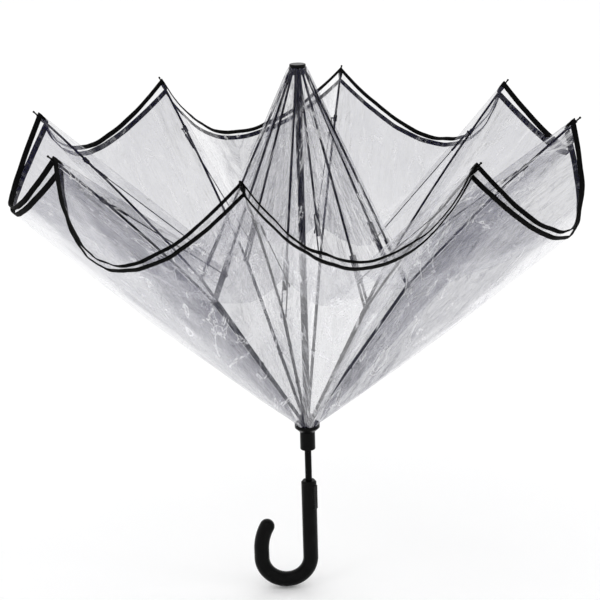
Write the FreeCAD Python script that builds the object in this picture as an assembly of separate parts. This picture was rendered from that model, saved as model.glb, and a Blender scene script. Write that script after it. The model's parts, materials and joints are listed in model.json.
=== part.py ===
"""Reverse-folding umbrella with a clear double canopy, a sliding runner and a J-shaped handle.

The shaft is on the Z axis and the hook of the handle points to -X.
The origin is on the shaft's axis, in the middle of the straight grip.
The umbrella is drawn part way through its fold: the runner is low, the rib tips point up and out,
the lower canopy is a cone from the runner to the rim, and the upper canopy hangs from the crown
and turns back up to the rim. Lengths are in millimetres and angles in degrees.
"""

import FreeCAD, Part
import math
import os

# ---- driving dimensions -------------------------------------------------------------------
RIBS = 8
FIRST_AZIMUTH = 259.4          # of rib 1, counter-clockwise from -Y as seen from above
HANDLE_BOTTOM_Z = -110.0
TOTAL_HEIGHT = 800.0

SHAFT_R = 5.0
SHAFT_WALL = 0.7
SHAFT_IN_GRIP = 96.0           # length of shaft hidden in the grip

GRIP_TOP_Z = 64.0
GRIP_R = 11.4
GRIP_CHAMFER = 2.4              # in radius, over a height of GRIP_CHAMFER_RISE
GRIP_CHAMFER_RISE = 3.0
HOOK_R = 37.0                  # centreline of the half circle under the grip
HOOK_RISE = 14.0               # straight leg after the half circle
HOOK_CURL_R = 80.0
HOOK_CURL_DEG = 28.0

PIVOT_R = 10.0                 # radius of both wire rings that the ribs hang on
WIRE_R = 0.5
RUNNER_PIVOT_Z = 163.0
OPEN_PIVOT_GAP = 137.0         # between the two rings when the umbrella is open
CROWN_PIVOT_Z = 683.0
KNEE = (151.0, 374.0)          # radius and height of the joint of crown rib and main rib
TIP = (381.0, 613.0)           # radius and height of the rib's tip
OUTER_BEND_DEG = 6.8           # how far the outer part of a rib turns between knee and tip

INNER_ROD_R = 2.3
OUTER_ROD_R = 1.7
CROWN_ROD_R = 1.7
EYE_R = 2.2
EYE_THICK = 1.8
EYE_HOLE_R = 0.75
TANG_LENGTH = 12.0
TANG_WIDTH = 2.0
ROD_START = 8.0                # from the pivot to the start of the round rod
SLOT_WIDTH = 2.5

CHANNEL_LENGTH = 74.0
CHANNEL_GAP = 5.4
CHANNEL_WALL = 0.9
CHANNEL_DEPTH = 5.0
CHANNEL_OVERHANG = 3.5         # beyond the rivet
RIVET_R = 1.9
RIVET_HEAD = 0.6
FORK_LENGTH = 34.0             # open end of the channel, which straddles the main rib

NOTCH_R = 12.4
NECK_R = 8.6                   # of the runner, between its sleeve and its slotted top
SLEEVE_EDGE_R = 1.2
SLEEVE_R = 11.3
SLEEVE_BOTTOM_Z = 115.0
SLEEVE_TOP_Z = 143.0
CUP_TOP_R = 18.6
CUP_TOP_Z = 155.0
CUP_BAND = 5.0                 # height of the upright band under the cup's edge
CUP_WALL = 1.4
BORE_CLEARANCE = 0.25

CLIP = (316.0, 545.0)          # where the tie wire is clipped to the rib
GUIDE = (133.5, 411.5)         # centre of the loop at the tie wire's end, beside the channel
TIE_SIDE = 5.6                 # how far the tie wire lies beside the rib's plane
TIE_WIRE_R = 0.7
TIE_LOOP_R = 2.4
TIE_SLEEVE = (12.0, 40.0)      # along the tie wire, from its clip
TIE_SLEEVE_R = 1.7
BEAD_AT = 100.0                # along the inner rod, from the runner's wire
BEAD_R = 3.3
CLIP_HALF = 5.0                # half the clip's length
CLIP_R = 2.9
FERRULE_SOCKET = 9.0           # length that holds the rod's end
FERRULE_R = 2.2
PIN_LENGTH = 8.0               # thin pin ahead of the rod's end
PIN_R = 1.1
PIN_BALL_R = 1.6
FIT = 0.05                     # clearance of a small piece on its rod or wire

FILM = 0.15
FILM_OFFSET = 4.0              # from the rib's chord to the lower film
FILM_GAP = 0.4
FOLD_DEG = 23.4                # turn of each half gore about the chord of its rib
FILM_START = 24.0              # along the chord, from the runner's wire
FILM_CORNER = 577.0            # along the chord, to the hem's corner at the rib
FILM_MID = 511.0               # along the chord, to the middle of the hem
LAYER_GAP = 9.0                # between the two hems
VALLEY = (135.0, 422.0)        # fold of the upper film at a rib
VALLEY_MID_Z = 392.0           # fold of the upper film half way between ribs

BUTTON_AZIMUTH = 55.0
BUTTON_Z = 38.5
BUTTON_WIDTH = 8.6
BUTTON_HEIGHT = 38.0
BUTTON_BACK_R = 8.4
BUTTON_FACE_R = 12.7
BUTTON_GROOVES = 7
GROOVE_PITCH = 3.2
BUTTON_EDGE_R = 0.9
GROOVE_DEPTH = 0.5
GROOVE_WIDTH = 1.2
POCKET_FLOOR_R = 5.9
POCKET_GAP = 0.3
SPRING_GAP = 0.3
LEAF_WIDTH = 5.0
LEAF_Z = (6.0, 16.0)           # from the button's middle

V = FreeCAD.Vector
UP = V(0, 0, 1)


# ---- helpers ------------------------------------------------------------------------------
def save(name, shape):
    """Write one node and print its solids and volume."""
    shape.exportStep("parts/" + name + ".step")
    print(name, len(shape.Solids), "solids", round(shape.Volume, 1), "mm3", shape.isValid())


def cylinder(radius, bottom, top):
    """A cylinder on the shaft's axis."""
    return Part.makeCylinder(radius, top - bottom, V(0, 0, bottom))


def rod(start, end, radius):
    """A straight round rod between two points."""
    run = end - start
    return Part.makeCylinder(radius, run.Length, start, run)


def tube_on(start, end, outer, inner):
    """A round sleeve between two points."""
    return rod(start, end, outer).cut(rod(start, end, inner))


def fused(shapes):
    """One solid from overlapping shapes."""
    whole = shapes[0].fuse(shapes[1:])
    return whole.removeSplitter()


def plate(corners, offset):
    """A flat plate: a polygon pushed along offset."""
    outline = Part.makePolygon(corners + [corners[0]])
    return Part.Face(outline).extrude(offset)


def helix_spring(base, direction, radius, wire_r, height, turns):
    """A closed coil of round wire that stands on base along direction."""
    path = Part.makeHelix(height / turns, height, radius)
    ring = Part.Wire(Part.makeCircle(wire_r, V(radius, 0, 0), V(0, 1, 0)))
    coil = Part.Wire(path.Edges).makePipeShell([ring], True, True)
    coil.Placement = FreeCAD.Placement(base, FreeCAD.Rotation(UP, direction))
    return coil


class Azimuth:
    """The vertical plane through the shaft at one azimuth."""

    def __init__(self, degrees):
        a = math.radians(degrees)
        self.out = V(math.sin(a), -math.cos(a), 0)
        self.side = V(math.cos(a), math.sin(a), 0)

    def at(self, place, beside=0.0):
        """The point at a radius and height, some way beside the plane."""
        return self.out * place[0] + UP * place[1] + self.side * beside

    def box(self, low, high):
        """A box given by radius, side and height at its two corners."""
        corner = self.out * low[0] + self.side * low[1] + UP * low[2]
        size = [high[i] - low[i] for i in range(3)]
        block = Part.makeBox(size[0], size[1], size[2])
        turn = FreeCAD.Rotation(self.out, self.side, UP, "XZY")
        block.Placement = FreeCAD.Placement(corner, turn)
        return block


def rib_azimuth(k):
    """The plane of rib k, counted from 1."""
    return Azimuth(FIRST_AZIMUTH + (k - 1) * 360.0 / RIBS)


CROWN_PIVOT = (PIVOT_R, CROWN_PIVOT_Z)
RUNNER_PIVOT = (PIVOT_R, RUNNER_PIVOT_Z)
TOP_Z = HANDLE_BOTTOM_Z + TOTAL_HEIGHT


# ---- shaft and crown ----------------------------------------------------------------------
SLOT_END_GAP = 0.5                                   # behind an eye, at the slot's inner end
NOTCH_BOTTOM_Z = CROWN_PIVOT_Z - 7.0
NOTCH_TOP_Z = CROWN_PIVOT_Z + EYE_R + 0.1
CAP_BOTTOM_Z = NOTCH_TOP_Z + FILM + FIT
CAP_R = 11.5
CAP_EDGE_R = 1.4
CAP_STUD_R = 2.0
CAP_STUD_LENGTH = 7.0
SPIGOT_LENGTH = 14.0
STOP_PIN_R = 1.0
STOP_PIN_REACH = 1.2                                 # beyond the shaft's wall on each side
STOP_Z = CROWN_PIVOT_Z - OPEN_PIVOT_GAP + EYE_R + 2.4
SEAT_Z = (GRIP_TOP_Z + 6.0, GRIP_TOP_Z + 15.0)
SPRING_HEIGHT = 110.0
SPRING_WIRE_R = 0.45
SPRING_TURNS = 18


def slotted_disc(bottom, top, pivot_z, bore, slot_bottom):
    """A disc with one slot for each rib and a groove for the wire ring."""
    disc = cylinder(NOTCH_R, bottom, top)
    if bore:
        disc = disc.cut(cylinder(bore, bottom, top))
    for k in range(1, RIBS + 1):
        low = (PIVOT_R - EYE_R - SLOT_END_GAP, -SLOT_WIDTH / 2, slot_bottom)
        high = (NOTCH_R + 2, SLOT_WIDTH / 2, top)
        disc = disc.cut(rib_azimuth(k).box(low, high))
    return disc.cut(Part.makeTorus(PIVOT_R, WIRE_R + FIT, V(0, 0, pivot_z)))


def make_shaft():
    """The steel tube, the pin that stops the runner, and the opening spring on its seat."""
    bottom = GRIP_TOP_Z - SHAFT_IN_GRIP
    inside = SHAFT_R - SHAFT_WALL
    tube = cylinder(SHAFT_R, bottom, NOTCH_BOTTOM_Z).cut(cylinder(inside, bottom, NOTCH_BOTTOM_Z))
    hole = Part.makeCylinder(STOP_PIN_R + FIT, 2 * NOTCH_R, V(-NOTCH_R, 0, STOP_Z), V(1, 0, 0))
    save("shaft_tube", tube.cut(hole))
    reach = SHAFT_R + STOP_PIN_REACH
    save("runner_stop_pin", Part.makeCylinder(STOP_PIN_R, 2 * reach, V(-reach, 0, STOP_Z), V(1, 0, 0)))
    foot = V(0, 0, SEAT_Z[1] + 1)
    spring = helix_spring(foot, UP, inside - 1.1, SPRING_WIRE_R, SPRING_HEIGHT, SPRING_TURNS)
    save("opening_spring", spring)
    save("spring_seat", cylinder(inside - FIT, SEAT_Z[0], SEAT_Z[1]))


def make_crown():
    """The slotted crown, its wire ring and the flat cap that holds the upper film."""
    notch = slotted_disc(NOTCH_BOTTOM_Z, NOTCH_TOP_Z, CROWN_PIVOT_Z, 0, NOTCH_BOTTOM_Z)
    spigot = cylinder(SHAFT_R - SHAFT_WALL - FIT, NOTCH_BOTTOM_Z - SPIGOT_LENGTH, NOTCH_BOTTOM_Z + 1)
    stud_bottom = NOTCH_TOP_Z - CAP_STUD_LENGTH
    stud_hole = cylinder(CAP_STUD_R + FIT, stud_bottom - 1, NOTCH_TOP_Z)
    save("crown_notch", fused([notch, spigot]).cut(stud_hole))
    save("crown_wire", Part.makeTorus(PIVOT_R, WIRE_R, V(0, 0, CROWN_PIVOT_Z)))
    cap = cylinder(CAP_R, CAP_BOTTOM_Z, TOP_Z)
    rim = [edge for edge in cap.Edges if edge.BoundBox.ZMin > TOP_Z - 0.1 and len(edge.Vertexes) == 1]
    cap = cap.makeFillet(CAP_EDGE_R, rim)
    save("crown_cap", fused([cap, cylinder(CAP_STUD_R, stud_bottom, CAP_BOTTOM_Z + 1)]))


# ---- handle -------------------------------------------------------------------------------
def hook_path():
    """The centreline of the grip and its hook, from the top of the grip to the tip."""
    centre_z = HANDLE_BOTTOM_Z + GRIP_R + HOOK_R
    top = V(0, 0, GRIP_TOP_Z)
    bend = V(0, 0, centre_z)
    low = V(-HOOK_R, 0, centre_z - HOOK_R)
    leg = V(-2 * HOOK_R, 0, centre_z)
    curl = V(-2 * HOOK_R, 0, centre_z + HOOK_RISE)
    centre = curl + V(HOOK_CURL_R, 0, 0)
    half = math.radians(HOOK_CURL_DEG / 2)
    whole = math.radians(HOOK_CURL_DEG)
    middle = centre + V(-math.cos(half), 0, math.sin(half)) * HOOK_CURL_R
    tip = centre + V(-math.cos(whole), 0, math.sin(whole)) * HOOK_CURL_R
    edges = [
        Part.LineSegment(top, bend).toShape(),
        Part.Arc(bend, low, leg).toShape(),
        Part.LineSegment(leg, curl).toShape(),
        Part.Arc(curl, middle, tip).toShape(),
    ]
    return Part.Wire(edges), tip


def make_handle():
    """The J-shaped grip with its button, the button's spring and the latch."""
    path, tip = hook_path()
    section = Part.Wire(Part.makeCircle(GRIP_R, V(0, 0, GRIP_TOP_Z), UP))
    grip = path.makePipeShell([section], True, True)
    grip = fused([grip, Part.makeSphere(GRIP_R, tip)])
    chamfer_z = GRIP_TOP_Z - GRIP_CHAMFER_RISE
    ring = cylinder(GRIP_R + 1, chamfer_z, GRIP_TOP_Z + 1)
    cone = Part.makeCone(GRIP_R, GRIP_R - GRIP_CHAMFER, GRIP_CHAMFER_RISE, V(0, 0, chamfer_z))
    grip = grip.cut(ring.cut(cone))
    grip = grip.cut(cylinder(SHAFT_R + FIT, GRIP_TOP_Z - SHAFT_IN_GRIP, GRIP_TOP_Z + 1))
    plane = Azimuth(BUTTON_AZIMUTH)
    wide = BUTTON_WIDTH / 2
    tall = BUTTON_HEIGHT / 2
    low = (POCKET_FLOOR_R, -wide - POCKET_GAP, BUTTON_Z - tall - POCKET_GAP)
    high = (GRIP_R + 3, wide + POCKET_GAP, BUTTON_Z + tall + POCKET_GAP)
    save("handle_grip", grip.cut(plane.box(low, high)))

    low = (BUTTON_BACK_R, -wide, BUTTON_Z - tall)
    button = plane.box(low, (BUTTON_FACE_R, wide, BUTTON_Z + tall))
    button = button.makeFillet(BUTTON_EDGE_R, button.Edges)
    for i in range(BUTTON_GROOVES):
        z = BUTTON_Z + (i - (BUTTON_GROOVES - 1) / 2) * GROOVE_PITCH
        low = (BUTTON_FACE_R - GROOVE_DEPTH, -wide - 1, z - GROOVE_WIDTH / 2)
        button = button.cut(plane.box(low, (BUTTON_FACE_R + 1, wide + 1, z + GROOVE_WIDTH / 2)))
    save("release_button", button)
    height = BUTTON_BACK_R - POCKET_FLOOR_R - 2 * SPRING_GAP
    base = plane.at((POCKET_FLOOR_R + SPRING_GAP, BUTTON_Z))
    save("button_spring", helix_spring(base, plane.out, 2.2, 0.22, height, 3))
    low = (POCKET_FLOOR_R + 0.1, -LEAF_WIDTH / 2, BUTTON_Z + LEAF_Z[0])
    high = (POCKET_FLOOR_R + 0.6, LEAF_WIDTH / 2, BUTTON_Z + LEAF_Z[1])
    save("latch_leaf", plane.box(low, high))


# ---- runner -------------------------------------------------------------------------------
def make_runner():
    """The sliding sleeve, its slotted top, its wire ring and the flared cup of the lower film."""
    bore = SHAFT_R + BORE_CLEARANCE
    sleeve = cylinder(SLEEVE_R, SLEEVE_BOTTOM_Z, SLEEVE_TOP_Z)
    ends = [edge for edge in sleeve.Edges if edge.BoundBox.ZMax < SLEEVE_BOTTOM_Z + 0.1]
    sleeve = sleeve.makeFillet(SLEEVE_EDGE_R, ends)
    save("runner_sleeve", sleeve.cut(cylinder(bore, SLEEVE_BOTTOM_Z, SLEEVE_TOP_Z)))
    low = SLEEVE_TOP_Z + FIT
    top = RUNNER_PIVOT_Z + EYE_R + 0.8
    disc_bottom = RUNNER_PIVOT_Z - 6
    disc = slotted_disc(disc_bottom, top, RUNNER_PIVOT_Z, bore, RUNNER_PIVOT_Z - EYE_R - 0.8)
    whole = fused([cylinder(NECK_R, low, disc_bottom), disc])
    save("runner_notch", whole.cut(cylinder(bore, low, top)))
    save("runner_wire", Part.makeTorus(PIVOT_R, WIRE_R, V(0, 0, RUNNER_PIVOT_Z)))
    inside = CUP_TOP_R - CUP_WALL
    corners = [(NECK_R + FIT, low), (SLEEVE_R + 0.4, low), (CUP_TOP_R, CUP_TOP_Z - CUP_BAND),
               (CUP_TOP_R, CUP_TOP_Z), (inside, CUP_TOP_Z), (inside, CUP_TOP_Z - CUP_BAND + 1.0),
               (NECK_R + 1.5, low + CUP_WALL), (NECK_R + FIT, low + CUP_WALL)]
    outline = [V(r, 0, z) for r, z in corners]
    face = Part.Face(Part.makePolygon(outline + [outline[0]]))
    save("runner_cup", face.revolve(V(0, 0, 0), UP, 360))


# ---- ribs ---------------------------------------------------------------------------------
def eye(plane, pivot, towards):
    """The flat eye at a rib's end, with a short tang towards the rod, and the hole through it."""
    back = plane.at(pivot, -EYE_THICK / 2)
    disc = Part.makeCylinder(EYE_R, EYE_THICK, back, plane.side)
    run = (plane.at(towards) - plane.at(pivot)).normalize()
    across = plane.side.cross(run) * (TANG_WIDTH / 2)
    far = back + run * TANG_LENGTH
    tang = plate([back - across, back + across, far + across, far - across], plane.side * EYE_THICK)
    hole = Part.makeCylinder(EYE_HOLE_R, EYE_THICK + 2, back - plane.side, plane.side)
    return disc.fuse(tang), hole


def outer_arc(plane):
    """The gently bent outer part of a rib, from the knee to the tip."""
    run_r = TIP[0] - KNEE[0]
    run_z = TIP[1] - KNEE[1]
    chord = math.hypot(run_r, run_z)
    sagitta = chord / 2 * math.tan(math.radians(OUTER_BEND_DEG / 4))
    middle = ((KNEE[0] + TIP[0]) / 2 - run_z / chord * sagitta,
              (KNEE[1] + TIP[1]) / 2 + run_r / chord * sagitta)
    return Part.Arc(plane.at(KNEE), plane.at(middle), plane.at(TIP)).toShape()


def along(start, end, distance):
    """The place at a distance from start towards end, as radius and height."""
    length = math.hypot(end[0] - start[0], end[1] - start[1])
    share = distance / length
    return (start[0] + (end[0] - start[0]) * share, start[1] + (end[1] - start[1]) * share)


def make_main_rib(k):
    """The long rib from the runner to the tip: a straight inner rod and a bent outer rod."""
    plane = rib_azimuth(k)
    flat, hole = eye(plane, RUNNER_PIVOT, KNEE)
    inner = rod(plane.at(along(RUNNER_PIVOT, KNEE, ROD_START)), plane.at(KNEE), INNER_ROD_R)
    arc = outer_arc(plane)
    heading = arc.tangentAt(arc.FirstParameter)
    section = Part.Wire(Part.makeCircle(OUTER_ROD_R, arc.Vertexes[0].Point, heading))
    outer = Part.Wire([arc]).makePipeShell([section], True, True)
    knuckle = Part.makeSphere(INNER_ROD_R, plane.at(KNEE))
    save("main_rib_%d" % k, fused([flat, inner, knuckle, outer]).cut(hole))


def make_fittings(k):
    """The small pieces on a main rib: film bead, tie wire with its clip and sleeve, and tip."""
    plane = rib_azimuth(k)
    bead = Part.makeSphere(BEAD_R, plane.at(along(RUNNER_PIVOT, KNEE, BEAD_AT)))
    before = plane.at(along(RUNNER_PIVOT, KNEE, BEAD_AT - 2 * BEAD_R))
    after = plane.at(along(RUNNER_PIVOT, KNEE, BEAD_AT + 2 * BEAD_R))
    bead = bead.cut(rod(before, after, INNER_ROD_R + FIT))

    arc = outer_arc(plane)
    share = (CLIP[0] - KNEE[0]) / (TIP[0] - KNEE[0])
    at_clip = arc.FirstParameter + (arc.LastParameter - arc.FirstParameter) * share
    middle = arc.valueAt(at_clip)
    heading = arc.tangentAt(at_clip)
    body = rod(middle - heading * CLIP_HALF, middle + heading * CLIP_HALF, CLIP_R)
    ear = rod(middle + plane.side * (CLIP_R - 0.5), middle + plane.side * (TIE_SIDE + 1.2), 1.5)
    bore = rod(middle - heading * (CLIP_HALF + 1), middle + heading * (CLIP_HALF + 1), OUTER_ROD_R + FIT)
    clip = fused([body, ear]).cut(bore)

    wire_end = middle + plane.side * TIE_SIDE
    guide = plane.at(GUIDE, TIE_SIDE)
    run = (guide - wire_end).normalize()
    wire = rod(wire_end + run * 1.6, guide - run * TIE_LOOP_R, TIE_WIRE_R)
    wire = fused([wire, Part.makeTorus(TIE_LOOP_R, TIE_WIRE_R, guide, plane.side)])
    sleeve = tube_on(wire_end + run * TIE_SLEEVE[0], wire_end + run * TIE_SLEEVE[1],
                     TIE_SLEEVE_R, TIE_WIRE_R + FIT)

    tip = arc.valueAt(arc.LastParameter)
    ahead = arc.tangentAt(arc.LastParameter)
    socket = rod(tip - ahead * FERRULE_SOCKET, tip + ahead * 1.5, FERRULE_R)
    pin = rod(tip, tip + ahead * PIN_LENGTH, PIN_R)
    ball = Part.makeSphere(PIN_BALL_R, tip + ahead * PIN_LENGTH)
    end_bore = rod(tip - ahead * (FERRULE_SOCKET + 1), tip + ahead * 0.3, OUTER_ROD_R + FIT)
    ferrule = fused([socket, pin, ball]).cut(end_bore)
    save("rib_fittings_%d" % k, Part.makeCompound([bead, clip, wire, sleeve, ferrule]))


def make_crown_rib(k):
    """The short rib from the crown, with the forked channel that straddles the main rib."""
    plane = rib_azimuth(k)
    length = math.hypot(KNEE[0] - PIVOT_R, KNEE[1] - CROWN_PIVOT_Z)
    flat, hole = eye(plane, CROWN_PIVOT, KNEE)
    channel_start = length - CHANNEL_LENGTH
    stem = rod(plane.at(along(CROWN_PIVOT, KNEE, ROD_START)),
               plane.at(along(CROWN_PIVOT, KNEE, channel_start + 8)), CROWN_ROD_R)
    start = plane.at(along(CROWN_PIVOT, KNEE, channel_start))
    end = plane.at(along(CROWN_PIVOT, KNEE, length + CHANNEL_OVERHANG))
    run = (end - start).normalize()
    across = plane.side.cross(run) * CHANNEL_DEPTH
    inside = CHANNEL_GAP / 2
    outside = inside + CHANNEL_WALL

    def block(low_side, high_side, reach):
        corner = start + plane.side * low_side - across / 2
        far = corner + run * reach
        return plate([corner, corner + across, far + across, far], plane.side * (high_side - low_side))

    whole = (end - start).Length
    cheeks = [block(-outside, -inside, whole), block(inside, outside, whole)]
    bridge = block(-outside, outside, CHANNEL_LENGTH - FORK_LENGTH)
    knee = plane.at(KNEE)
    heads = [rod(knee + plane.side * (hand * outside), knee + plane.side * (hand * (outside + RIVET_HEAD)),
                 RIVET_R) for hand in (1, -1)]
    save("crown_rib_%d" % k, fused([flat, stem, bridge] + cheeks + heads).cut(hole))


# ---- canopy -------------------------------------------------------------------------------
HALF_STEP = math.radians(180.0 / RIBS)
CHORD_R = TIP[0] - PIVOT_R
CHORD_Z = TIP[1] - RUNNER_PIVOT_Z
CHORD = math.hypot(CHORD_R, CHORD_Z)
SIN_CHORD = CHORD_R / CHORD
COS_CHORD = CHORD_Z / CHORD


def half_width(distance):
    """Width of a half gore at a distance along the chord, so that it ends half way between ribs."""
    fold = math.radians(FOLD_DEG)
    reach = PIVOT_R + FILM_OFFSET * COS_CHORD + distance * SIN_CHORD
    return math.tan(HALF_STEP) * reach / (math.cos(fold) - math.tan(HALF_STEP) * math.sin(fold) * COS_CHORD)


def make_gore_half(k, name, hand):
    """The films between one rib and the next mid-line: hand is +1 towards the next rib, -1 back."""
    plane = rib_azimuth(k)
    chord = plane.out * SIN_CHORD + UP * COS_CHORD
    down = plane.out * COS_CHORD - UP * SIN_CHORD
    fold = math.radians(FOLD_DEG)
    across = plane.side * (hand * math.cos(fold)) + down * math.sin(fold)
    origin = plane.at(RUNNER_PIVOT) + down * FILM_OFFSET

    def place(distance, width):
        return origin + chord * distance + across * width

    corners = [place(FILM_START, FILM_GAP), place(FILM_CORNER, FILM_GAP),
               place(FILM_MID, half_width(FILM_MID) - FILM_GAP),
               place(FILM_START, half_width(FILM_START) - FILM_GAP)]
    normal = chord.cross(across).normalize()
    if normal.dot(down) < 0:
        normal = normal * -1
    lower = plate(corners, normal * FILM)

    mid_out = plane.out * math.cos(HALF_STEP) + plane.side * (hand * math.sin(HALF_STEP))
    mid_side = plane.side * math.cos(HALF_STEP) - plane.out * (hand * math.sin(HALF_STEP))
    rim_rib = corners[1] - normal * LAYER_GAP - down * FILM_OFFSET
    rim_mid = corners[2] - normal * LAYER_GAP
    rim_mid = rim_mid - mid_side * (rim_mid.dot(mid_side) + hand * 2 * FILM_GAP)
    valley_rib = plane.at(VALLEY, hand * FILM_GAP)
    face_normal = (rim_mid - rim_rib).cross(valley_rib - rim_rib).normalize()
    start = UP * VALLEY_MID_Z - mid_side * (hand * 2 * FILM_GAP)
    reach = (rim_rib - start).dot(face_normal) / mid_out.dot(face_normal)
    valley_mid = start + mid_out * reach
    if face_normal.dot(down) > 0:
        face_normal = face_normal * -1
    upper = plate([rim_rib, rim_mid, valley_mid, valley_rib], face_normal * FILM)
    save(name, Part.makeCompound([lower, upper]))
    return reach


def ring_of_points(radii, heights):
    """Points round the shaft, one at each rib and one half way to the next."""
    points = []
    for i in range(2 * RIBS):
        plane = Azimuth(FIRST_AZIMUTH + i * 180.0 / RIBS)
        points.append(plane.at((radii[i % 2], heights[i % 2])))
    return points


def make_upper_centre(mid_radius):
    """The upper film from the crown down to its fold, with its flat top under the cap."""
    top_r = NOTCH_R + 1.2
    top_z = NOTCH_TOP_Z + 0.03
    outer = [ring_of_points((top_r, top_r), (top_z + FILM, top_z + FILM)),
             ring_of_points((VALLEY[0] - 0.6, mid_radius - 0.8), (VALLEY[1], VALLEY_MID_Z))]
    thin = FILM * 1.1
    inner = [ring_of_points((top_r - thin, top_r - thin), (top_z, top_z)),
             ring_of_points((VALLEY[0] - 0.6 - thin, mid_radius - 0.8 - thin), (VALLEY[1], VALLEY_MID_Z))]
    count = 2 * RIBS
    faces = []

    def triangle(a, b, c):
        faces.append(Part.Face(Part.makePolygon([a, b, c, a])))

    for i in range(count):
        j = (i + 1) % count
        triangle(outer[0][i], outer[1][i], outer[1][j])
        triangle(outer[0][i], outer[1][j], outer[0][j])
        triangle(inner[0][i], inner[1][j], inner[1][i])
        triangle(inner[0][i], inner[0][j], inner[1][j])
        triangle(outer[1][i], inner[1][i], inner[1][j])
        triangle(outer[1][i], inner[1][j], outer[1][j])
    faces.append(Part.Face(Part.makePolygon(outer[0] + [outer[0][0]])))
    faces.append(Part.Face(Part.makePolygon(inner[0] + [inner[0][0]])))
    shell = Part.makeShell(faces)
    solid = Part.makeSolid(shell)
    if solid.Volume < 0:
        solid.reverse()
    save("upper_film_centre", solid.cut(cylinder(2.6, top_z - 1, top_z + 1)))


def main():
    os.makedirs("parts", exist_ok=True)
    make_shaft()
    make_crown()
    make_handle()
    make_runner()
    mid_radius = 0.0
    for k in range(1, RIBS + 1):
        make_main_rib(k)
        make_fittings(k)
        make_crown_rib(k)
        mid_radius = make_gore_half(k, "canopy_half_%da" % k, -1)
        make_gore_half(k, "canopy_half_%db" % k, 1)
    make_upper_centre(mid_radius)


main()
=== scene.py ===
"""Looks of a half-folded reverse umbrella with two layers of clear film.

All lengths are in metres and the shaft is on the Z axis, with its crown up. Ribs are numbered from 1.
"""
import json
import math

import bpy
import mathutils
import numpy as np
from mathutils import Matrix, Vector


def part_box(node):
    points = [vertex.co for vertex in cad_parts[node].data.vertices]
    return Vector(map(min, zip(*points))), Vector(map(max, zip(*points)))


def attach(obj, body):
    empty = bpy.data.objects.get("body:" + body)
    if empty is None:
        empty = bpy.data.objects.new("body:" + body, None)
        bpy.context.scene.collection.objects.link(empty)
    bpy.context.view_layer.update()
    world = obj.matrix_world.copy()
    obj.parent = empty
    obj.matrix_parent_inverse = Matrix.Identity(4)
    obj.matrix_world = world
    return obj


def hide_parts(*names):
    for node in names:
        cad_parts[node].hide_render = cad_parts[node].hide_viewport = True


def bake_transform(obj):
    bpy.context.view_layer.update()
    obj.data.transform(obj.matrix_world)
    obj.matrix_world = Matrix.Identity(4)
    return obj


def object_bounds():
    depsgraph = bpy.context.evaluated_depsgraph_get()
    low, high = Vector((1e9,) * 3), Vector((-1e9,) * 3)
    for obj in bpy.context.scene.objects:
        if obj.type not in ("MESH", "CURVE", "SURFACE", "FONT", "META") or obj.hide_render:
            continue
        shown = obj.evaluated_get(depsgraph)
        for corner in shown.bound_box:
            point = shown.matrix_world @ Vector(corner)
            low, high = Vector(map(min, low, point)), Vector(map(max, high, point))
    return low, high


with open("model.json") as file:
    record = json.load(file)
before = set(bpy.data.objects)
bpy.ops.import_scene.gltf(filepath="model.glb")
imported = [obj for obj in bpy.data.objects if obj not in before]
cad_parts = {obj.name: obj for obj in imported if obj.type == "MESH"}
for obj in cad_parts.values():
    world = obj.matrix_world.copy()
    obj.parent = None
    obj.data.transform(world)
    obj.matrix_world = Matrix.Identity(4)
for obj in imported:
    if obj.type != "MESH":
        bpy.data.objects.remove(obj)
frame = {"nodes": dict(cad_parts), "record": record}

CAD_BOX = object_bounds()
RECORD = frame["record"]
JOINTS = {j["name"]: j for j in RECORD["behaviour"]["joints"]}

# ---- places that follow the CAD frame -----------------------------------------------------
RIBS = 8
HALF_STEP = math.pi / RIBS
RUNNER_PIN = np.array(JOINTS["main_rib_hinge_1"]["pos_m"])
PIN_RADIUS = math.hypot(RUNNER_PIN[0], RUNNER_PIN[1])
RUNNER_Z = RUNNER_PIN[2]
CUP_TOP_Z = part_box("runner_cup")[1][2]
CAP_BOTTOM_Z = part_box("crown_notch")[1][2]
FLOOR_Z = CAD_BOX[0][2] - 0.002
UP = np.array([0.0, 0.0, 1.0])

# ---- the rib's plane: radius and height ---------------------------------------------------
KNEE = np.array([0.151, 0.374])
TIP = np.array([0.381, 0.613])
OUTER_BEND = math.radians(6.8)             # the rib beyond its knee is bent by this much
CLIP = np.array([0.312, 0.551])
VALLEY = np.array([0.1345, 0.4235])        # fold of the upper film at a rib
VALLEY_MID = np.array([0.158, 0.388])      # and half way between ribs
INNER_ROD_R = 0.0023

# ---- edges of the films, in the same plane ------------------------------------------------
MOUTH = np.array([0.0150, CUP_TOP_Z - 0.0040])       # the lower film starts inside the runner's cup
MOUTH_RIM = np.array([0.0160, CUP_TOP_Z + 0.0006])   # and passes over its lip between two ribs
LOWER_START = 0.05                         # where the lower film meets a rib, as a share of the rib
LOWER_END = 0.975                          # and where its hem does
LOWER_GAP = INNER_ROD_R + 0.0008           # from the rib's middle line to the film outside it
LOWER_SAG = np.array([0.0035, -0.0045])    # of the line half way between two ribs
UPPER_END = 0.998
TIP_GAP = np.array([-0.001, 0.0050])       # from the rib's end to the upper hem
LOW_GAP = np.array([0.0015, 0.0085])       # from the lower hem to the upper one between two ribs
CLIP_GAP = np.array([0.004, 0.018])        # the upper film passes this far inside the clip
UPPER_DIP = np.array([0.012, -0.024])      # of the line half way between two ribs
CENTRE_START = np.array([0.0060, CAP_BOTTOM_Z + 0.0002])   # clamped under the cap
CENTRE_RIM = np.array([0.0136, CAP_BOTTOM_Z + 0.0002])     # edge of the crown
CENTRE_DIP = np.array([-0.020, -0.020])
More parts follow.
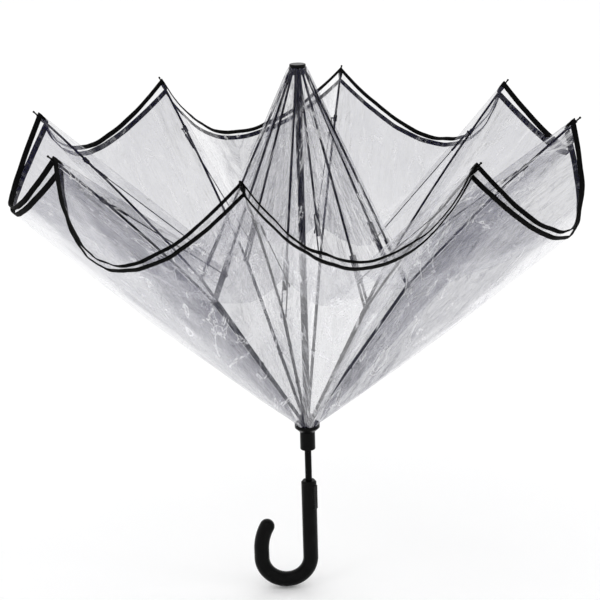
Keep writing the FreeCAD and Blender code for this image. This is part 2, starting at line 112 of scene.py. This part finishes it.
# lowest point of each gore's hem: turn from the middle of the gore in degrees, radius and height
HEM_LOW = [(0.0, 0.404, 0.513), (0.0, 0.423, 0.508), (-2.8, 0.421, 0.521), (0.0, 0.411, 0.499),
           (0.0, 0.386, 0.543), (0.0, 0.420, 0.494), (2.8, 0.424, 0.502), (0.0, 0.386, 0.529)]


# ---- small helpers ------------------------------------------------------------------------
def linear(value):
    """Linear RGBA of an sRGB hex colour."""
    channels = [int(value[i:i + 2], 16) / 255 for i in (1, 3, 5)]
    return [c / 12.92 if c <= 0.04045 else ((c + 0.055) / 1.055) ** 2.4 for c in channels] + [1.0]


def material(name):
    """A new material and its shader."""
    m = bpy.data.materials.new(name)
    m.use_nodes = True
    return m, m.node_tree.nodes["Principled BSDF"]


def add(m, kind, settings=None, links=None):
    """Add a node: settings are properties or input values, links are (input, from socket)."""
    n = m.node_tree.nodes.new(kind)
    for key, value in (settings or {}).items():
        if isinstance(key, int) or key in n.inputs:
            n.inputs[key].default_value = value
        else:
            setattr(n, key, value)
    for key, socket in (links or {}).items():
        m.node_tree.links.new(socket, n.inputs[key])
    return n


def join(m, socket, target):
    """Link one socket to another."""
    m.node_tree.links.new(socket, target)


def ramp(m, fac, stops):
    """A colour ramp with stops of (place, value or colour)."""
    n = add(m, "ShaderNodeValToRGB", links={"Fac": fac})
    points = n.color_ramp.elements
    while len(points) < len(stops):
        points.new(0.5)
    for point, (place, value) in zip(points, stops):
        point.position = place
        point.color = value if isinstance(value, list) else (value, value, value, 1)
    return n


def grid_mesh(name, points, uv=None, closed_u=False, flip=False, caps=False):
    """A mesh from an array of points with shape (rows, columns, 3), as quads."""
    rows, cols = points.shape[:2]
    index = np.arange(rows * cols).reshape(rows, cols)
    if closed_u:
        index = np.concatenate([index, index[:, :1]], axis=1)
    a, b, c, d = index[:-1, :-1], index[:-1, 1:], index[1:, 1:], index[1:, :-1]
    quads = np.stack([a, b, c, d] if not flip else [a, d, c, b], axis=-1).reshape(-1, 4)
    faces = quads.tolist()
    if caps:
        first, last = list(range(cols)), list(range((rows - 1) * cols, rows * cols))
        faces += [first if flip else first[::-1], last[::-1] if flip else last]
    mesh = bpy.data.meshes.new(name)
    mesh.from_pydata(points.reshape(-1, 3).tolist(), [], faces)
    if uv is not None:
        layer = mesh.uv_layers.new(name="UVMap")
        flat = uv.reshape(-1, 2)
        corners = np.empty(len(mesh.loops), dtype=np.int32)
        mesh.loops.foreach_get("vertex_index", corners)
        layer.data.foreach_set("uv", flat[corners].reshape(-1))
    mesh.polygons.foreach_set("use_smooth", np.ones(len(mesh.polygons), dtype=bool))
    mesh.update()
    piece = bpy.data.objects.new(name, mesh)
    bpy.context.scene.collection.objects.link(piece)
    return piece


def unit_rows(vectors):
    """The same vectors, each with a length of 1."""
    return vectors / np.linalg.norm(vectors, axis=1, keepdims=True)


def lengths_along(points):
    """Length of a line of points from its start to each of them."""
    return np.concatenate([[0], np.cumsum(np.linalg.norm(np.diff(points, axis=0), axis=1))])


def bezier(t, start, control, end):
    """Quadratic Bezier curve at t."""
    return (1 - t) ** 2 * start + 2 * t * (1 - t) * control + t ** 2 * end


def directions(k):
    """Outward and sideways directions of rib k, from its hinge on the runner."""
    pin = np.array(JOINTS["main_rib_hinge_%d" % k]["pos_m"])
    out = np.array([pin[0], pin[1], 0.0]) / PIN_RADIUS
    return out, np.array([-out[1], out[0], 0.0])


def rib_line(share):
    """Radius and height along the main rib, share 0 at the runner's ring and 1 at the tip."""
    start = np.array([PIN_RADIUS, RUNNER_Z])
    inner = np.linalg.norm(KNEE - start)
    chord = np.linalg.norm(TIP - KNEE)
    d = np.asarray(share) * (inner + chord)
    straight = start + (KNEE - start) * np.clip(d / inner, 0, 1)[..., None]
    t = np.clip((d - inner) / chord, 0, 1)
    along = (TIP - KNEE) / chord
    up = np.array([-along[1], along[0]])
    sagitta = chord / 2 * math.tan(OUTER_BEND / 4)
    bent = KNEE + (TIP - KNEE) * t[..., None] + up * (4 * sagitta * t * (1 - t))[..., None]
    return np.where((d <= inner)[..., None], straight, bent)


def offset_line(line, distance):
    """A radius-and-height line moved sideways, to its right as it runs."""
    run = unit_rows(np.gradient(line, axis=0))
    return line + np.stack([run[:, 1], -run[:, 0]], axis=1) * distance


def resampled(line, count, bunch):
    """The same line with count points, spaced by length to the power bunch."""
    length = lengths_along(line)
    at = np.linspace(0, 1, count) ** bunch * length[-1]
    return np.stack([np.interp(at, length, line[:, i]) for i in range(line.shape[1])], axis=1)


# ---- films --------------------------------------------------------------------------------
ROWS = 72                 # from the runner or the fold to the hem
ROW_BUNCH = 0.9           # below 1, so rows get a little closer towards the hem
COLS = 34                 # from a rib to the middle of its gore
UV_STEP = 2.0             # metres of UV from one rib to the next, far more than a gore is wide
ROUNDNESS = 0.42          # how flat a gore is in its middle, as a share of its half width

WAVES = 16
SLOW_TURNS = (0.4, 2.6)   # of a wave from the start of the film to its hem
FAST_TURNS = (10, 60)     # of a wave round the whole canopy
FAST_FALL = 24            # waves with more turns than this are much lower
RIDGE_TOP = 0.6
RIDGE_DEPTH = 1.4
WAVE_SUM = 3.0            # usual height of all waves together

RIB_FADE = 3              # crumples are full from 1/3 of the way to the gore's middle
START_FADE = 5            # and from 1/5 of the way to the hem
PLEATS_PER_RIB = 4.5      # gathers where the lower film is clamped
PLEAT_REACH = 0.22
PLEAT_FADE = 30


def crumples(along, around, seed, size):
    """Ridged waves over the canopy: along is 0 to 1, around counts ribs and repeats every 8.

    Each wave is a sine of a slanted line across the canopy, and half of them are folded at zero,
    which gives the sharp little creases of stiff film.
    """
    random = np.random.default_rng(seed)
    total = np.zeros_like(along)
    for i in range(WAVES):
        slow = random.uniform(*SLOW_TURNS)
        fast = int(random.integers(*FAST_TURNS)) * int(random.choice([-1, 1]))
        phase = random.uniform(0, 2 * math.pi)
        wave = np.sin(2 * math.pi * (slow * along + fast * around / RIBS) + phase)
        if i % 2:
            wave = RIDGE_TOP - RIDGE_DEPTH * np.abs(wave)
        total += wave * random.uniform(0.4, 1.0) / (1 + abs(fast) / FAST_FALL)
    return total * size / WAVE_SUM


def film_half(k, hand, rib_edge, mid_edge, seed, size, pleat, turn):
    """Half a gore between rib k and its gore's lowest line, as a grid of points and UVs in metres.

    Each cross-section is a quadratic Bezier curve from the rib to that line. Its control point
    lies beside the line, level with it and square to its plane, so that the two halves of a gore
    join without a crease. UVs start a new pair of metres at each rib, so that no two gores match.
    """
    out, side = directions(k)
    rib = resampled(rib_edge, ROWS, ROW_BUNCH)
    mid = resampled(mid_edge, ROWS, ROW_BUNCH)
    v = np.linspace(0, 1, COLS)
    along = np.linspace(0, 1, ROWS)[:, None] * np.ones((1, COLS))
    e = rib[:, :1] * out + rib[:, 1:] * UP
    step = HALF_STEP + math.radians(turn) * hand * along[:, :1]
    mid_out = out * np.cos(step) + side * (hand * np.sin(step))
    across = side * (hand * np.cos(step)) - out * np.sin(step)
    m = mid[:, :1] * mid_out + mid[:, 1:] * UP
    width = mid[:, :1] * np.sin(step)
    c = m - across * (ROUNDNESS * width / np.cos(step))
    points = bezier(v[None, :, None], e[:, None], c[:, None], m[:, None])
    around = k + hand * 0.5 * v[None, :] * np.ones((ROWS, 1))
    normal = np.cross(np.gradient(points, axis=0), np.gradient(points, axis=1)) * hand
    normal /= np.maximum(np.linalg.norm(normal, axis=2, keepdims=True), 1e-12)
    fade = np.sin(np.minimum(v * RIB_FADE, 1) * math.pi / 2)[None, :] * np.minimum(along * START_FADE, 1)
    lift = crumples(along, around, seed, size) * fade
    gathers = pleat * np.sin(2 * math.pi * PLEATS_PER_RIB * around) * np.exp(-along / PLEAT_REACH)
    lift += gathers * np.minimum(along * PLEAT_FADE, 1) * fade
    points = points + normal * lift[..., None]
    gaps = np.linalg.norm(np.diff(points, axis=1), axis=2)
    x = np.concatenate([np.zeros((ROWS, 1)), np.cumsum(gaps, axis=1)], axis=1)
    uv = np.stack([x * hand + UV_STEP * k, lengths_along(rib)[:, None] * np.ones((1, COLS))], axis=-1)
    return points, uv


def surface_area(points):
    """Area of a grid of points."""
    a = points[1:, :-1] - points[:-1, :-1]
    b = points[:-1, 1:] - points[:-1, :-1]
    c = points[1:, :-1] - points[1:, 1:]
    d = points[:-1, 1:] - points[1:, 1:]
    halves = np.linalg.norm(np.cross(a, b), axis=2) + np.linalg.norm(np.cross(c, d), axis=2)
    return float(halves.sum() / 2)


def lower_edges(low):
    """Rib edge and middle edge of the lower film, from the runner's cup to the hem."""
    beside = offset_line(rib_line(np.linspace(LOWER_START, LOWER_END, 60)), LOWER_GAP)
    t = np.linspace(0, 1, 60)[:, None]
    mid = MOUTH_RIM + (low - MOUTH_RIM) * t + LOWER_SAG * 4 * t * (1 - t)
    return np.concatenate([[MOUTH], beside]), np.concatenate([[MOUTH], mid])


def upper_edges(low):
    """Rib edge and middle edge of the upper film's outer part, from its fold to the hem."""
    t = np.linspace(0, 1, 40)[:, None]
    rib = bezier(t, VALLEY, CLIP + CLIP_GAP, rib_line(UPPER_END) + TIP_GAP)
    rim = low + LOW_GAP
    mid = bezier(t, VALLEY_MID, (VALLEY_MID + rim) / 2 + UPPER_DIP, rim)
    return rib, mid


def centre_edges():
    """Rib edge and middle edge of the upper film from under the cap down to its fold."""
    t = np.linspace(0, 1, 40)[:, None]
    rib = CENTRE_RIM + (VALLEY - CENTRE_RIM) * t
    mid = bezier(t, CENTRE_RIM, (CENTRE_RIM + VALLEY_MID) / 2 + CENTRE_DIP, VALLEY_MID)
    return np.concatenate([[CENTRE_START], rib]), np.concatenate([[CENTRE_START], mid])


# ---- tapes --------------------------------------------------------------------------------
TAPE_SIDES = 12
TAPE_SQUARENESS = 0.7     # power of a superellipse, which keeps the sides flat and the folds round
TAPE_INSIDE = 0.36        # the tape's middle lies this share of its width inside the film's edge

POCKET_RINGS = 9
POCKET_SIDES = 16
POCKET_SHARE = (0.97, 1.004)          # from its mouth to its end, as shares of the rib
POCKET_LIFT = 0.0010
POCKET_HALF_HEIGHT = 0.0042
POCKET_HALF_WIDTH = 0.0032
POCKET_ENDS = (0.35, 0.25)            # how open its mouth and its end are, in radians of a sine
POCKET_LENGTH = 0.016


def tape(name, points, width, thick):
    """Binding tape folded over the last row of a film grid: a flat loop carried along the hem."""
    edge = points[-1]
    back = unit_rows(points[-3] - points[-1])
    run = unit_rows(np.gradient(edge, axis=0))
    normal = unit_rows(np.cross(run, back))
    turns = np.linspace(0, 2 * math.pi, TAPE_SIDES, endpoint=False)
    flat = np.sign(np.cos(turns)) * np.abs(np.cos(turns)) ** TAPE_SQUARENESS
    deep = np.sign(np.sin(turns)) * np.abs(np.sin(turns)) ** TAPE_SQUARENESS
    cx = flat * width / 2 + width * TAPE_INSIDE
    cy = deep * thick / 2
    ring = edge[:, None] + back[:, None] * cx[None, :, None] + normal[:, None] * cy[None, :, None]
    uv = np.stack(np.broadcast_arrays(lengths_along(edge)[:, None], (turns / math.pi * width)[None]), axis=-1)
    piece = grid_mesh(name, ring, uv, closed_u=True, caps=True)
    piece.data.materials.append(BINDING)
    return piece


def tip_pocket(k):
    """The little pocket of tape that both hems end in, on the rib's last 16 mm."""
    out, side = directions(k)
    line = rib_line(np.linspace(*POCKET_SHARE, POCKET_RINGS))
    run = unit_rows(np.gradient(line, axis=0))
    rise = np.stack([-run[:, 1], run[:, 0]], axis=1)
    turns = np.linspace(0, 2 * math.pi, POCKET_SIDES, endpoint=False)
    swell = np.sin(np.linspace(POCKET_ENDS[0], math.pi - POCKET_ENDS[1], POCKET_RINGS)) ** 0.5
    rings = []
    for i in range(POCKET_RINGS):
        middle = line[i] + rise[i] * POCKET_LIFT
        high = POCKET_HALF_HEIGHT * swell[i]
        wide = POCKET_HALF_WIDTH * swell[i]
        flat = middle[None] + rise[i][None] * (np.cos(turns) * high)[:, None]
        rings.append(flat[:, :1] * out + flat[:, 1:] * UP + side * (np.sin(turns) * wide)[:, None])
    length = np.linspace(0, POCKET_LENGTH, POCKET_RINGS)
    uv = np.stack(np.broadcast_arrays(length[:, None], (turns * 0.005)[None]), axis=-1)
    piece = grid_mesh("tip_pocket_%d" % k, np.array(rings), uv, closed_u=True, caps=True)
    piece.data.materials.append(BINDING)
    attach(piece, "main_rib_body_%d" % k)


# ---- materials ----------------------------------------------------------------------------
# painted light on the clear film: ramp stops for its painted crease highlights and painted crease shade, its
# soft painted glare and its painted reflection at glancing angles, and how strong each is
HIGHLIGHT_LINES = [(0.52, 0.0), (0.60, 0.3), (0.63, 1.0), (0.66, 0.25), (0.76, 0.0)]
SHADE_LINES = [(0.30, 0.0), (0.39, 0.3), (0.415, 1.0), (0.44, 0.2), (0.50, 0.0)]
GLARE = [(0.56, 0.0), (0.68, 1.0)]
GLANCE_REFLECTION = [(0.44, 0.0), (0.59, 0.90)]
NEAR_RIB = 0.07           # painted crease highlights and painted crease shade are densest closer to a rib than this
FAR_CREASE_LIGHT = 0.30        # and have this strength beyond
SEAM_HALF_WIDTH = 0.0022
CROSS_HIGHLIGHT, CROSS_SHADE = 0.85, 0.30
GLARE_HIGHLIGHT = 0.30
SEAM_DARK = 0.25
PATCH, PATCH_LEAST = 0.16, -0.04
HIGHLIGHT_ALPHA, SHADE_AND_SEAM_ALPHA = 0.60, 0.30


def calc(m, operation, a, b):
    """A maths node on sockets or numbers, and its result."""
    n = add(m, "ShaderNodeMath", {"operation": operation})
    for i, value in enumerate((a, b)):
        if isinstance(value, (int, float)):
            n.inputs[i].default_value = value
        else:
            join(m, value, n.inputs[i])
    return n.outputs[0]


def span(m, value, low, high, at_low, at_high):
    """A value mapped from low..high to at_low..at_high, and its result."""
    settings = {"From Min": low, "From Max": high, "To Min": at_low, "To Max": at_high}
    return add(m, "ShaderNodeMapRange", settings, {"Value": value}).outputs[0]


def blended(m, fac, base, colour):
    """A base colour, as a socket or hex, that turns into a hex colour with fac."""
    n = add(m, "ShaderNodeMix", {"data_type": "RGBA"}, {0: fac})
    if isinstance(base, str):
        n.inputs[6].default_value = linear(base)
    else:
        join(m, base, n.inputs[6])
    n.inputs[7].default_value = linear(colour)
    return n.outputs[2]


def folds(m, uv, scale, turn, distortion):
    """Long wavering lines over a UV map: a stretched noise."""
    place = add(m, "ShaderNodeMapping", {"Scale": scale, "Rotation": (0, 0, turn)}, {"Vector": uv})
    settings = {"Scale": 1.0, "Detail": 5.0, "Roughness": 0.6, "Distortion": distortion}
    return add(m, "ShaderNodeTexNoise", settings, {"Vector": place.outputs["Vector"]}).outputs["Fac"]


def clear_film(name, milky, thin, haze_length, creased):
    """Clear film, blown and heat-sealed: it darkens what lies behind it, and its creases get painted white
    highlights.

    milky and thin are (colour, alpha) at the gore's start and beyond haze_length, and creased is
    the strength of its painted lines. Painted highlight and painted shade lines run along the gore,
    most of them close to a rib, painted highlights and shade on cross wrinkles and a soft painted
    glare lie in between, and a welded seam follows the rib.
    """
    m, shader = material(name)
    uv = add(m, "ShaderNodeUVMap", {"uv_map": "UVMap"}).outputs["UV"]
    split = add(m, "ShaderNodeSeparateXYZ", links={0: uv})
    limits = {"operation": "WRAP", 1: UV_STEP / 2, 2: -UV_STEP / 2}
    wrap = add(m, "ShaderNodeMath", limits, {0: split.outputs["X"]})
    off = calc(m, "ABSOLUTE", wrap.outputs[0], 0.0)
    near = span(m, off, 0.0, NEAR_RIB, 1.0, FAR_CREASE_LIGHT)
    start = span(m, split.outputs["Y"], haze_length * 0.45, haze_length, 1.0, 0.0)
    long = folds(m, uv, (60, 6, 1), 0.0, 1.0)
    cross = folds(m, uv, (34, 11, 1), 0.6, 1.6)
    soft = folds(m, uv, (9, 5, 1), -0.4, 0.6)

    # painted highlights: white lines along the gore near a rib, on cross wrinkles, and as soft glare
    painted_highlight = calc(m, "MULTIPLY", ramp(m, long, HIGHLIGHT_LINES).outputs["Color"], near)
    wrinkle_highlight_and_shade = calc(m, "MULTIPLY", ramp(m, cross, HIGHLIGHT_LINES).outputs["Color"], CROSS_HIGHLIGHT)
    painted_highlight = calc(m, "MAXIMUM", painted_highlight, wrinkle_highlight_and_shade)
    # soft painted glare: broad painted highlights between the creases
    glare = ramp(m, soft, GLARE).outputs["Color"]
    painted_highlight = calc(m, "MAXIMUM", painted_highlight, calc(m, "MULTIPLY", glare, GLARE_HIGHLIGHT))
    # painted shade: dark lines along the gore near a rib and on cross wrinkles; the real darker welded seam
    # along the rib joins this mask
    dark = calc(m, "MULTIPLY", ramp(m, long, SHADE_LINES).outputs["Color"], near)
    wrinkle_highlight_and_shade = calc(m, "MULTIPLY", ramp(m, cross, SHADE_LINES).outputs["Color"], CROSS_SHADE)
    dark = calc(m, "MAXIMUM", dark, wrinkle_highlight_and_shade)
    seam = calc(m, "LESS_THAN", off, SEAM_HALF_WIDTH)
    dark = calc(m, "MAXIMUM", dark, calc(m, "MULTIPLY", seam, SEAM_DARK))
    patch = calc(m, "MULTIPLY", calc(m, "SUBTRACT", 0.5, soft), PATCH)

    alpha = calc(m, "ADD", calc(m, "MULTIPLY", start, milky[1] - thin[1]), thin[1])
    alpha = calc(m, "ADD", alpha, calc(m, "MAXIMUM", patch, PATCH_LEAST))
    # the film is more opaque under the painted highlights
    alpha = calc(m, "ADD", alpha, calc(m, "MULTIPLY", painted_highlight, HIGHLIGHT_ALPHA * creased))
    # and more opaque under the painted shade and the seam
    alpha = calc(m, "ADD", alpha, calc(m, "MULTIPLY", dark, SHADE_AND_SEAM_ALPHA * creased))
    join(m, alpha, shader.inputs["Alpha"])

    tone = blended(m, start, thin[0], milky[0])
    # painted highlights turn the colour white
    tone = blended(m, painted_highlight, tone, "#ffffff")
    # painted shade and the seam turn the colour dark grey
    tone = blended(m, dark, tone, "#26262c")
    # painted reflection: at a glancing angle the colour turns near white, standing in for the film mirroring
    # the bright room instead of dimming what is behind it
    facing = add(m, "ShaderNodeLayerWeight", {"Blend": 0.5}).outputs["Facing"]
    tone = blended(m, ramp(m, facing, GLANCE_REFLECTION).outputs["Color"], tone, "#f4f4f8")
    join(m, tone, shader.inputs["Base Color"])
    shader.inputs["Roughness"].default_value = 0.12
    shader.inputs["IOR"].default_value = 1.48
    bump = add(m, "ShaderNodeBump", {"Strength": 0.5, "Distance": 0.0015}, {"Height": long})
    join(m, bump.outputs["Normal"], shader.inputs["Normal"])
    return m


def woven_tape():
    """Black polyester binding: a diagonal twill with its ridges about 2 mm apart, so that they show."""
    m, shader = material("polyester_binding")
    uv = add(m, "ShaderNodeUVMap", {"uv_map": "UVMap"}).outputs["UV"]
    twill = {"Scale": 230.0, "Distortion": 1.0, "bands_direction": "DIAGONAL"}
    wave = add(m, "ShaderNodeTexWave", twill, {"Vector": uv})
    tone = ramp(m, wave.outputs["Fac"], [(0.0, linear("#020202")), (1.0, linear("#070707"))])
    join(m, tone.outputs["Color"], shader.inputs["Base Color"])
    shader.inputs["Roughness"].default_value = 0.7
    shader.inputs["Specular IOR Level"].default_value = 0.04
    bump = add(m, "ShaderNodeBump", {"Strength": 0.4, "Distance": 0.0004}, {"Height": wave.outputs["Fac"]})
    join(m, bump.outputs["Normal"], shader.inputs["Normal"])
    return m


def moulded(name, dark, light, roughness, gloss_level, grain_mm, bump_mm):
    """Injection-moulded plastic or lacquer: slight colour drift and a fine orange-peel surface."""
    m, shader = material(name)
    place = add(m, "ShaderNodeTexCoord").outputs["Object"]
    drift = add(m, "ShaderNodeTexNoise", {"Scale": 60.0, "Detail": 4.0}, {"Vector": place})
    tone = ramp(m, drift.outputs["Fac"], [(0.35, linear(dark)), (0.7, linear(light))])
    join(m, tone.outputs["Color"], shader.inputs["Base Color"])
    gloss = add(m, "ShaderNodeMapRange", {"To Min": roughness - 0.06, "To Max": roughness + 0.08},
                {"Value": drift.outputs["Fac"]})
    join(m, gloss.outputs[0], shader.inputs["Roughness"])
    shader.inputs["Specular IOR Level"].default_value = gloss_level
    peel = add(m, "ShaderNodeTexNoise", {"Scale": 1000.0 / grain_mm, "Detail": 2.0}, {"Vector": place})
    bump = add(m, "ShaderNodeBump", {"Strength": 0.35, "Distance": bump_mm / 1000},
               {"Height": peel.outputs["Fac"]})
    join(m, bump.outputs["Normal"], shader.inputs["Normal"])
    return m


def steel_wire():
    """Drawn steel wire: bright, with a fine mottle."""
    m, shader = material("drawn_steel")
    place = add(m, "ShaderNodeTexCoord").outputs["Object"]
    noise = add(m, "ShaderNodeTexNoise", {"Scale": 900.0, "Detail": 2.0}, {"Vector": place})
    tone = ramp(m, noise.outputs["Fac"], [(0.3, linear("#8b8c90")), (0.8, linear("#b4b5b8"))])
    join(m, tone.outputs["Color"], shader.inputs["Base Color"])
    shader.inputs["Metallic"].default_value = 1.0
    shader.inputs["Roughness"].default_value = 0.32
    return m


# the last number of each film is how strong its painted crease highlights and painted crease shade are
FILM_LOWER = clear_film("clear_film_lower", ("#626278", 0.26), ("#38385c", 0.21), 0.36, 1.15)
FILM_LOWER_SMOOTH = clear_film("clear_film_lower_smooth", ("#626278", 0.25), ("#383862", 0.22), 0.36, 0.45)
FILM_UPPER = clear_film("clear_film_upper", ("#383858", 0.12), ("#383858", 0.13), 0.30, 1.1)
FILM_UPPER_SMOOTH = clear_film("clear_film_upper_smooth", ("#383862", 0.12), ("#383862", 0.14), 0.30, 0.3)
SMOOTH_GORES = (1, 5, 6, 8)                # these gores are pulled flat, and their film has weaker painted crease highlights and shade
BINDING = woven_tape()
LACQUER = moulded("black_lacquered_steel", "#020202", "#050505", 0.30, 0.06, 0.6, 0.05)
FIBREGLASS = moulded("black_fibreglass", "#020202", "#050505", 0.38, 0.05, 0.4, 0.04)
GLOSS_ABS = moulded("black_gloss_abs", "#020202", "#040404", 0.20, 0.08, 0.8, 0.04)
SATIN_GRIP = moulded("black_satin_grip", "#020202", "#050505", 0.32, 0.08, 0.5, 0.05)
BUTTON_ABS = moulded("black_button_abs", "#060606", "#0e0e0f", 0.42, 0.15, 0.5, 0.06)
STEEL = steel_wire()


def finish_cad_nodes():
    """Every CAD node that stays gets its own finish."""
    finishes = {
        "black_steel": LACQUER, "black_rod": FIBREGLASS, "black_plastic": GLOSS_ABS,
        "grip_black": SATIN_GRIP, "button_black": BUTTON_ABS, "steel": STEEL, "clear_film": FILM_LOWER,
    }
    for part in RECORD["subparts"]:
        node = frame["nodes"][part["node"]]
        for s in node.material_slots:
            s.material = finishes[part["material_slot"]]


# ---- build --------------------------------------------------------------------------------
# the two layers that end in a hem: name, edges, creased and smooth film, seed and height of the
# crumples, height of the gathers, width and thickness of the tape
LAYERS = (("lower", lower_edges, (FILM_LOWER, FILM_LOWER_SMOOTH), 11, 0.0026, 0.0020, 0.0086, 0.0017),
          ("upper", upper_edges, (FILM_UPPER, FILM_UPPER_SMOOTH), 23, 0.0034, 0.0, 0.0082, 0.0016))
CENTRE_SEED = 37
CENTRE_CRUMPLES = 0.0030
LEAST_AREA = 0.3                           # of a sheet, as a share of its flat rectangle


def make_film(name, k, hand, edges, film, seed, size, pleat, turn, rests_on):
    """One half gore of one film with its grid of points and what a declaration of it as a sheet would say."""
    points, uv = film_half(k, hand, edges[0], edges[1], seed, size, pleat, turn)
    piece = grid_mesh(name, points, uv, flip=hand < 0)
    piece.data.materials.append(film)
    wide = float(np.ptp(uv[..., 0]))
    long = float(np.ptp(uv[..., 1]))
    area = min(max(surface_area(points), LEAST_AREA * wide * long), wide * long)
    return piece, points, {"flat": (wide, long), "held": "stretched", "area": area, "rests_on": rests_on}


def make_canopy():
    """Both films and their tapes, in half gores."""
    for k in range(1, RIBS + 1):
        tip_pocket(k)
        for letter, hand in (("a", -1), ("b", 1)):
            tag = "%d%s" % (k, letter)
            gore = (k - 1 if hand > 0 else k - 2) % RIBS
            turn, radius, height = HEM_LOW[gore]
            smooth = gore + 1 in SMOOTH_GORES
            low = np.array([radius, height])
            made = []
            for label, edges, films, seed, size, pleat, wide, thick in LAYERS:
                piece, points, sheet = make_film("%s_film_%s" % (label, tag), k, hand, edges(low),
                                                 films[smooth], seed, size, pleat, turn,
                                                 ["main_rib_%d" % k])
                hem = tape("%s_tape_%s" % (label, tag), points, wide, thick)
                made += [piece, hem]
            for piece in made:
                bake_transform(piece)
            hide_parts("canopy_half_" + tag)

            piece, points, sheet = make_film("centre_film_" + tag, k, hand, centre_edges(), FILM_UPPER,
                                             CENTRE_SEED, CENTRE_CRUMPLES, 0.0, 0.0,
                                             ["crown_rib_%d" % k])
            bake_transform(piece)
            if tag == "1a":
                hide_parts("upper_film_centre")


# ---- studio -------------------------------------------------------------------------------
FLOOR_HALF_SIZE = 40.0
ROOM_BRIGHTNESS = 1.02
# name, place, what it points at, width and watts
LIGHTS = (("key_light", (-1.3, -1.2, 2.3), (0, 0, 0.45), 0.40, 3.2),
          ("side_light", (1.8, -0.6, 1.3), (0, 0, 0.4), 0.30, 1.6),
          ("back_light", (0.3, 2.2, 1.9), (0, 0, 0.5), 0.50, 2.6))
TARGET_Z = 0.383
DISTANCE = 2.365
ELEVATION = math.radians(17.2)
ROLL = math.radians(-1.56)
LENS_MM = 98.8
SENSOR_MM = 36.0
SHIFT = (-0.0053, -0.040)


def make_studio():
    """White floor, a bright even room and three weak lights."""
    size = FLOOR_HALF_SIZE
    corners = np.array([[[-size, -size, FLOOR_Z], [size, -size, FLOOR_Z]],
                        [[-size, size, FLOOR_Z], [size, size, FLOOR_Z]]])
    floor = grid_mesh("studio_floor", corners)
    m, shader = material("white_paper")
    place = add(m, "ShaderNodeTexCoord").outputs["Object"]
    noise = add(m, "ShaderNodeTexNoise", {"Scale": 3.0}, {"Vector": place})
    tone = ramp(m, noise.outputs["Fac"], [(0.3, linear("#fefefe")), (0.7, linear("#ffffff"))])
    join(m, tone.outputs["Color"], shader.inputs["Base Color"])
    shader.inputs["Roughness"].default_value = 0.9
    floor.data.materials.append(m)

    world = bpy.data.worlds.new("studio")
    world.use_nodes = True
    background = world.node_tree.nodes["Background"]
    background.inputs["Color"].default_value = (1.0, 1.0, 1.0, 1)
    background.inputs["Strength"].default_value = ROOM_BRIGHTNESS
    bpy.context.scene.world = world

    for name, place, aim, wide, power in LIGHTS:
        data = bpy.data.lights.new(name, "AREA")
        data.size = wide
        data.energy = power
        lamp = bpy.data.objects.new(name, data)
        bpy.context.scene.collection.objects.link(lamp)
        lamp.location = place
        look = np.array(aim) - np.array(place)
        lamp.rotation_mode = "QUATERNION"
        lamp.rotation_quaternion = mathutils.Vector(look).to_track_quat("-Z", "Y")


def make_camera():
    """The camera, level with a standing viewer's eyes and a little rolled."""
    data = bpy.data.cameras.new("camera")
    data.sensor_width = SENSOR_MM
    data.lens = LENS_MM
    data.shift_x, data.shift_y = SHIFT
    camera = bpy.data.objects.new("camera", data)
    bpy.context.scene.collection.objects.link(camera)
    back = mathutils.Vector((0, -math.cos(ELEVATION), math.sin(ELEVATION)))
    camera.location = mathutils.Vector((0, 0, TARGET_Z)) + back * DISTANCE
    camera.rotation_mode = "QUATERNION"
    level = (-back).to_track_quat("-Z", "Y")
    camera.rotation_quaternion = level @ mathutils.Quaternion((0, 0, 1), ROLL)
    bpy.context.scene.camera = camera


bpy.context.scene.view_settings.view_transform = "Standard"
make_camera()
make_studio()
finish_cad_nodes()
make_canopy()
